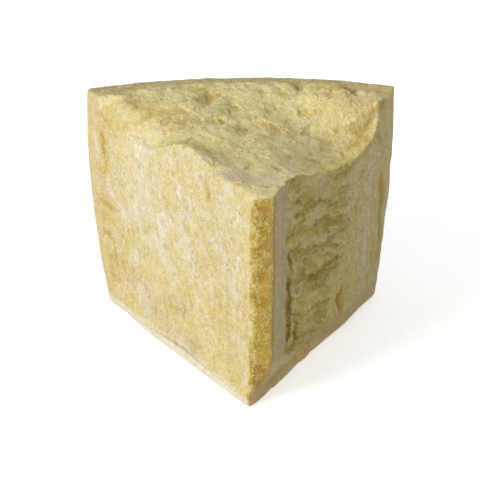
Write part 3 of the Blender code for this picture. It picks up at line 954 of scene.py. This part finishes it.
def paste_tints_and_painted_light(maker, finish, mask, pattern):
    """The paste of each side with its patches, flecks, grains and stains, painted shade in its hollows,
    cracks and pits, and painted highlight on its raised relief and ridges.
    """
    flecks, blotches = pattern["Flecks"], pattern["Blotches"]
    broken = maker.math("MINIMUM", maker.total(mask["top"], mask["right"]), 1.0)
    vivid = maker.total(1.0, maker.product(mask["top"], -0.45), maker.product(mask["right"], -0.15))
    upright = maker.product(mask["scraped"], mask["right"])
    parts = {**mask, "vivid": vivid, "upright": upright, "light_grains": pattern["Light cells"]}
    pale = Paint(maker, finish.chalk).lay(finish.pale_paste, broken).colour
    paste = Paint(maker, finish.cut_paste)
    paste.lay(finish.top_paste, mask["top"])
    paste.lay(finish.side_paste, mask["right"])
    paste.lay(finish.crag_paste, mask["broken_side"])
    for tint in TINTS:
        share = pattern[tint.pattern]
        if tint.low is not None:
            share = maker.ramp(share, tint.low, tint.high)
        colour = pale if tint.colour == "pale" else getattr(finish, tint.colour)
        paste.lay(colour, share, parts[tint.part], tint.share)

    uneven = maker.ramp(blotches, 0.38, 0.60, 0.55, 1.25)
    # Tan over its marks, partly painted shade.
    paste.lay(finish.tan, mask["tanned"], uneven)
    paste.lay(finish.lemon, mask["lemon"], uneven)
    ragged = maker.total(maker.product(flecks, 0.9), maker.product(blotches, 0.9), -0.90)
    amber = maker.total(mask["amber"], maker.product(mask["amber"], ragged, 2.4))
    paste.lay(finish.amber, maker.ramp(amber, 0.08, 0.95))
    # Painted shade: hollows of the relief darkened amber, olive on the right side; raised relief lightened
    # as a painted highlight.
    painted_hollow_shade = Paint(maker, finish.amber).lay(finish.olive, mask["right"]).colour
    paste.lay(painted_hollow_shade, maker.ramp(mask["relief"], -0.05, -0.80), 0.60)
    paste.lay(pale, maker.ramp(mask["relief"], 0.10, 0.80), 0.35)
    # Painted shade, partly deep amber paste: the sunk cracks, pits and crevice darkened.
    paste.lay(finish.deep_amber, maker.ramp(mask["scar"], 0.45, 1.0), 0.60)
    return paste


def tip_colour(maker, finish, pattern, across):
    """The amber tip, with painted highlight in straw along its left edge, deep patches, and painted shade
    in tan along its right edge.
    """
    across = maker.product(across, 1.0 / TIP_WIDTH)
    across = maker.total(across, maker.product(pattern["Blotches"], 2.4), -1.20)
    # Straw stays along the left edge as a painted highlight where the edge turns to the light.
    tip = Paint(maker, finish.straw)
    tip.lay(finish.amber, maker.ramp(across, -0.75, -0.25))
    tip.lay(finish.deep_amber, maker.ramp(pattern["Tone"], -0.02, 0.16), 0.80)
    # Painted shade in tan along the right edge, beside the shaded side.
    tip.lay(finish.tan, maker.ramp(across, 0.35, 1.0), 0.45)
    tip.lay(finish.straw, maker.ramp(pattern["Streaks"], 0.53, 0.64), 0.50)
    tip.lay(finish.pale_paste, pattern["Light cells"], 0.25)
    return tip.colour


def rind_colour(maker, finish, pattern, place):
    """The bare rind with its clouds."""
    rind = Paint(maker, finish.rind)
    rind.lay(finish.rind_dark, maker.ramp(maker.clouds(place, 46.0, 5.0, 0.6, 0.6), 0.42, 0.68))
    rind.lay(finish.blush, maker.ramp(pattern["Flecks"], 0.50, 0.70), 0.35)
    return rind.colour


def lay_rim(maker, finish, mask, pattern, paste, rind):
    """Lays the mottled edge of the rind over the paste."""
    mottle = maker.total(maker.product(pattern["Flecks"], 0.6), maker.product(pattern["Blotches"], 0.8))
    rim = Paint(maker, rind)
    rim.lay(finish.top_rim, mask["top"])
    rim.lay(finish.rind_dark, maker.ramp(mottle, 0.64, 0.76, 0.65, 0.10))
    rim.lay(finish.side_rim, maker.total(mask["left"], mask["right"]), 0.85)
    paste.lay(rim.colour, mask["rim"], maker.ramp(mottle, 0.60, 0.80, 0.45, 0.95))


def wedge_bump(maker, mask, pattern, place):
    """The finest relief: grain, blotches, ridges and streaks."""
    streaks = pattern["Streaks"]
    fine = maker.clouds(place, 1100.0, 3.0, 0.6)
    crumbly = maker.total(1.0, maker.product(mask["right"], 0.5), maker.product(mask["tip"], 0.5))
    height = maker.total(
        maker.product(fine, crumbly, 0.6),
        maker.product(pattern["Grain"], crumbly, -0.6),
        maker.product(pattern["Blotches"], crumbly, 1.6),
        maker.product(pattern["Ridges"], mask["broken_side"], 4.0),
        maker.product(streaks, maker.total(mask["scraped"], maker.product(mask["band"], 2.0)), 0.3),
        maker.product(streaks, mask["scraped"], mask["right"], 1.8),
        maker.product(pattern["Cracks"], -0.20),
    )
    return maker.node("ShaderNodeBump", {"Height": height, "Strength": 1.0, "Distance": BUMP_DEPTH})


def paste_material(finish):
    """Paste and rind in one finish, each face and mark with its own colour, with painted shade in hollows,
    cracks and pits and painted highlight on crests.
    """
    material, maker, shader = new_material("aged_paste_and_rind")
    mask = {
        name: maker.node("ShaderNodeAttribute", attribute_name=name).outputs["Fac"]
        for name in (*FACE_NAMES, *FINISH_MASKS)
    }
    place = maker.node("ShaderNodeTexCoord").outputs["Object"]
    across, _, up = maker.split(place)
    mottle = maker.node("ShaderNodeGroup", {"Place": place, "Coarseness": 1.0}, node_tree=mottle_group())
    pattern = {name: mottle.outputs[name] for name in MOTTLES}
    clouds, blotches, flecks, streaks = (pattern[name] for name in MOTTLES[:4])
    pattern["Light cells"] = maker.ramp(pattern["Light grains"], 0.82, 0.96)
    low = maker.product(maker.ramp(up, 0.075, 0.0), mask["left"], 0.17)
    pattern["Tone"] = maker.total(maker.product(clouds, 1.5), maker.product(blotches, 1.1), low, -1.32)

    paste = paste_tints_and_painted_light(maker, finish, mask, pattern)
    tip_share = maker.total(mask["near_tip"], maker.product(blotches, 1.6), -0.80)
    paste.lay(tip_colour(maker, finish, pattern, across), maker.ramp(tip_share, 0.40, 0.62))
    paste.lay(finish.chalk, mask["pale"], maker.ramp(maker.total(streaks, flecks), 0.85, 1.10, 0.30, 1.0))
    band_noise = maker.total(maker.product(streaks, 1.5), blotches)
    paste.lay(finish.band_paste, mask["band"], maker.ramp(band_noise, 1.12, 1.38, 0.85, 0.30))
    paste.lay(finish.blush, mask["blush"], maker.ramp(flecks, 0.36, 0.62, 0.95, 0.55))
    rind = rind_colour(maker, finish, pattern, place)
    lay_rim(maker, finish, mask, pattern, paste, rind)
    paste.lay(finish.foot_rind, mask["foot"], maker.ramp(flecks, 0.40, 0.62, 0.85, 0.55))
    paste.lay(finish.foot_paste, mask["left_foot"], maker.ramp(flecks, 0.36, 0.62, 0.95, 0.65))
    paste.lay(finish.rind_dark, maker.ramp(mask["rind_depth"], 2.2, 0.4), mask["rim"], 0.50)
    outside = maker.ramp(maker.total(mask["outer"], mask["base"]), 0.35, 0.75)
    paste.lay(rind, outside)
    maker.feed(shader.inputs["Base Color"], paste.colour)

    gloss = maker.ramp(flecks, 0.35, 0.65, 0.62, 0.48)
    gloss = maker.math("SUBTRACT", gloss, maker.product(outside, 0.08))
    maker.feed(shader.inputs["Roughness"], gloss)
    shader.inputs["Specular IOR Level"].default_value = 0.35
    shader.inputs["Subsurface Weight"].default_value = 0.16
    shader.inputs["Subsurface Radius"].default_value = (1.0, 0.62, 0.28)
    shader.inputs["Subsurface Scale"].default_value = 0.0022
    maker.feed(shader.inputs["Normal"], wedge_bump(maker, mask, pattern, place).outputs[0])
    return material


def crystal_material(finish):
    """Small white crystals with a slight shine."""
    material, maker, shader = new_material("white_crystal")
    place = maker.node("ShaderNodeTexCoord").outputs["Object"]
    mottle = maker.node("ShaderNodeGroup", {"Place": place, "Coarseness": 2.0}, node_tree=mottle_group())
    flecks = mottle.outputs["Flecks"]
    crystal = Paint(maker, finish.crystal).lay(finish.cut_paste, maker.ramp(flecks, 0.40, 0.65), 0.5)
    maker.feed(shader.inputs["Base Color"], crystal.colour)
    maker.feed(shader.inputs["Roughness"], maker.ramp(flecks, 0.35, 0.65, 0.30, 0.50))
    shader.inputs["Subsurface Weight"].default_value = 0.2
    shader.inputs["Subsurface Scale"].default_value = 0.0008
    return material


def crystal_tree(material):
    """The node tree that half sinks small faceted crystals into the grainy paste."""
    inputs = {**GEOMETRY, "Density": "Float", "Radius": "Float", "Seed": "Int"}
    tree, maker, given, result = new_tree("crystal_scatter", "GeometryNodeTree", inputs, GEOMETRY)
    mask = maker.node("GeometryNodeInputNamedAttribute", {"Name": "grainy"}, data_type="FLOAT")
    density = maker.product(given["Density"], mask.outputs["Attribute"])
    spots = maker.node(
        "GeometryNodeDistributePointsOnFaces",
        {"Mesh": given["Geometry"], "Density": density, "Seed": given["Seed"]},
        distribute_method="RANDOM",
    )
    grain = maker.node("GeometryNodeMeshIcoSphere", {"Radius": 1.0, "Subdivisions": 1})
    stretch, spin = (
        maker.node(
            "FunctionNodeRandomValue",
            {0: lowest, 1: highest, "Seed": seed},
            data_type="FLOAT_VECTOR",
        ).outputs[0]
        for lowest, highest, seed in (CRYSTAL_STRETCH, CRYSTAL_SPIN)
    )
    placed = maker.node(
        "GeometryNodeInstanceOnPoints",
        {
            "Points": spots.outputs["Points"],
            "Instance": grain.outputs["Mesh"],
            "Rotation": spin,
            "Scale": maker.scaled(stretch, given["Radius"]),
        },
    )
    end_tree(maker, placed.outputs[0], material, result)
    return tree


class CHEESE_OT_paste_wedge(bpy.types.Operator):
    """Make the wedge with its broken and cut faces and its rind"""

    bl_idname = "cheese.paste_wedge"
    bl_label = "Make the wedge"

    def execute(self, context):
        settings = context.scene.wedge_shape
        material = paste_material(context.scene.paste_finish)
        piece = fine_copy("paste_wedge", settings)
        surface = Surface(piece.data)
        wear_edges(piece.data, surface)
        surface = Surface(piece.data)
        cut_scars(piece.data, surface)
        store_masks(piece.data, surface_masks(surface))
        modifier = piece.modifiers.new("relief", "NODES")
        modifier.node_group = relief_tree(material)
        values = {name: getattr(settings, name.lower().replace(" ", "_")) for name in RELIEF_INPUTS}
        set_inputs(modifier, {name: float(value) for name, value in values.items()})
        finished_mesh(piece, "paste_wedge")
        thin_out(piece, settings.triangles)
        settle_base(piece.data)
        shade_smooth(piece.data)
        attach(piece, "root")
        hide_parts(NODE)
        return {"FINISHED"}


class CHEESE_OT_crystals(bpy.types.Operator):
    """Set small white crystals in the paste"""

    bl_idname = "cheese.crystals"
    bl_label = "Set the crystals"

    def execute(self, context):
        shape = context.scene.crystal_shape
        piece = bpy.data.objects.new("white_crystals", bpy.data.objects["paste_wedge"].data.copy())
        context.scene.collection.objects.link(piece)
        modifier = piece.modifiers.new("crystals", "NODES")
        modifier.node_group = crystal_tree(crystal_material(context.scene.paste_finish))
        values = {"Density": shape.density, "Radius": shape.radius, "Seed": shape.seed}
        set_inputs(modifier, values)
        mesh = finished_mesh(piece, "white_crystals")
        shade_smooth(mesh)
        settle_base(mesh)
        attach(piece, "root")
        return {"FINISHED"}


def camera_matrix(stage):
    """Where the camera stands and how it is turned."""
    yaw, pitch, roll = stage.yaw, stage.pitch, stage.roll
    ahead = Vector(
        (-math.sin(yaw) * math.cos(pitch), math.cos(yaw) * math.cos(pitch), -math.sin(pitch))
    )
    aside = Vector((math.cos(yaw), math.sin(yaw), 0.0))
    above = aside.cross(ahead)
    right = math.cos(roll) * aside + math.sin(roll) * above
    up = -math.sin(roll) * aside + math.cos(roll) * above
    matrix = Matrix((right, up, -ahead)).transposed().to_4x4()
    matrix.translation = Vector(stage.eye)
    return matrix


def add_camera(stage):
    """The camera at the viewing angle of the picture."""
    data = bpy.data.cameras.new("view")
    data.sensor_width = 36.0
    data.lens = stage.lens
    data.clip_end = 50.0
    camera = bpy.data.objects.new("view", data)
    camera.matrix_world = camera_matrix(stage)
    bpy.context.scene.collection.objects.link(camera)
    bpy.context.scene.camera = camera


def add_soft_light(name, place, target, side, power):
    """A large square light that shines from a place towards a target."""
    data = bpy.data.lights.new(name, "AREA")
    data.shape = "SQUARE"
    data.size = side
    data.energy = power
    light = bpy.data.objects.new(name, data)
    light.location = place
    light.rotation_euler = (Vector(target) - Vector(place)).to_track_quat("-Z", "Y").to_euler()
    bpy.context.scene.collection.objects.link(light)


def add_floor(glow):
    """A plain white floor that reaches past the edges of every view."""
    material, maker, shader = new_material("white_floor")
    seen = maker.node("ShaderNodeLightPath").outputs["Is Camera Ray"]
    grey = maker.blend(seen, (0.70, 0.70, 0.70, 1.0), (0.92, 0.92, 0.92, 1.0))
    maker.feed(shader.inputs["Base Color"], grey)
    shader.inputs["Roughness"].default_value = 0.9
    shader.inputs["Specular IOR Level"].default_value = 0.1
    glow_colour = maker.blend(seen, (0.0, 0.0, 0.0, 1.0), (glow, glow, glow, 1.0))
    maker.feed(shader.inputs["Emission Color"], glow_colour)
    shader.inputs["Emission Strength"].default_value = 1.0
    mesh = bpy.data.meshes.new("floor")
    disc = bmesh.new()
    bmesh.ops.create_circle(disc, cap_ends=True, segments=64, radius=FLOOR_RADIUS)
    disc.to_mesh(mesh)
    disc.free()
    mesh.materials.append(material)
    floor = bpy.data.objects.new("floor", mesh)
    bpy.context.scene.collection.objects.link(floor)


def add_sky(strength):
    """Even white light from all round, with a plain white background."""
    world = bpy.data.worlds.new("studio")
    bpy.context.scene.world = world
    world.use_nodes = True
    world.node_tree.nodes.clear()
    maker = Maker(world.node_tree)
    seen = maker.node("ShaderNodeLightPath").outputs["Is Camera Ray"]
    light = maker.node("ShaderNodeBackground", {"Color": (1.0, 1.0, 1.0, 1.0), "Strength": strength})
    white = maker.node("ShaderNodeBackground", {"Color": (1.0, 1.0, 1.0, 1.0), "Strength": 1.0})
    mixed = maker.node("ShaderNodeMixShader", {0: seen, 1: light.outputs[0], 2: white.outputs[0]})
    output = maker.node("ShaderNodeOutputWorld")
    maker.feed(output.inputs["Surface"], mixed.outputs[0])


class CHEESE_OT_stage(bpy.types.Operator):
    """Set up the floor, the soft lights and the camera"""

    bl_idname = "cheese.stage"
    bl_label = "Set up the stage"

    def execute(self, context):
        stage = context.scene.stage_layout
        context.scene.view_settings.view_transform = "Standard"
        add_floor(stage.floor_glow)
        add_sky(stage.sky)
        add_soft_light("key", KEY_PLACE, KEY_TARGET, KEY_SIDE, stage.key_power)
        add_camera(stage)
        return {"FINISHED"}


class CHEESE_PT_panel(bpy.types.Panel):
    """Lists the steps that make the wedge"""

    bl_idname = "CHEESE_PT_panel"
    bl_label = "Aged cheese wedge"
    bl_space_type = "VIEW_3D"
    bl_region_type = "UI"
    bl_category = "Cheese"

    def draw(self, context):
        scene = context.scene
        for settings in (scene.wedge_shape, scene.crystal_shape, scene.paste_finish, scene.stage_layout):
            column = self.layout.column()
            for name in settings.__annotations__:
                column.prop(settings, name)
        for operator in STEPS:
            self.layout.operator(operator.bl_idname)


SETTINGS = {
    "wedge_shape": WedgeShape,
    "crystal_shape": CrystalShape,
    "paste_finish": PasteFinish,
    "stage_layout": StageLayout,
}
STEPS = (CHEESE_OT_paste_wedge, CHEESE_OT_crystals, CHEESE_OT_stage)


def register():
    """Adds the settings, the steps and the panel."""
    for name, kind in SETTINGS.items():
        bpy.utils.register_class(kind)
        setattr(bpy.types.Scene, name, bpy.props.PointerProperty(type=kind))
    for kind in (*STEPS, CHEESE_PT_panel):
        bpy.utils.register_class(kind)


def unregister():
    """Takes the panel, the steps and the settings away."""
    for kind in (CHEESE_PT_panel, *reversed(STEPS)):
        bpy.utils.unregister_class(kind)
    for name, kind in SETTINGS.items():
        delattr(bpy.types.Scene, name)
        bpy.utils.unregister_class(kind)


def main():
    """Makes the pieces and the stage."""
    register()
    bpy.ops.cheese.paste_wedge()
    bpy.ops.cheese.crystals()
    bpy.ops.cheese.stage()


if __name__ == "__main__":
    main()
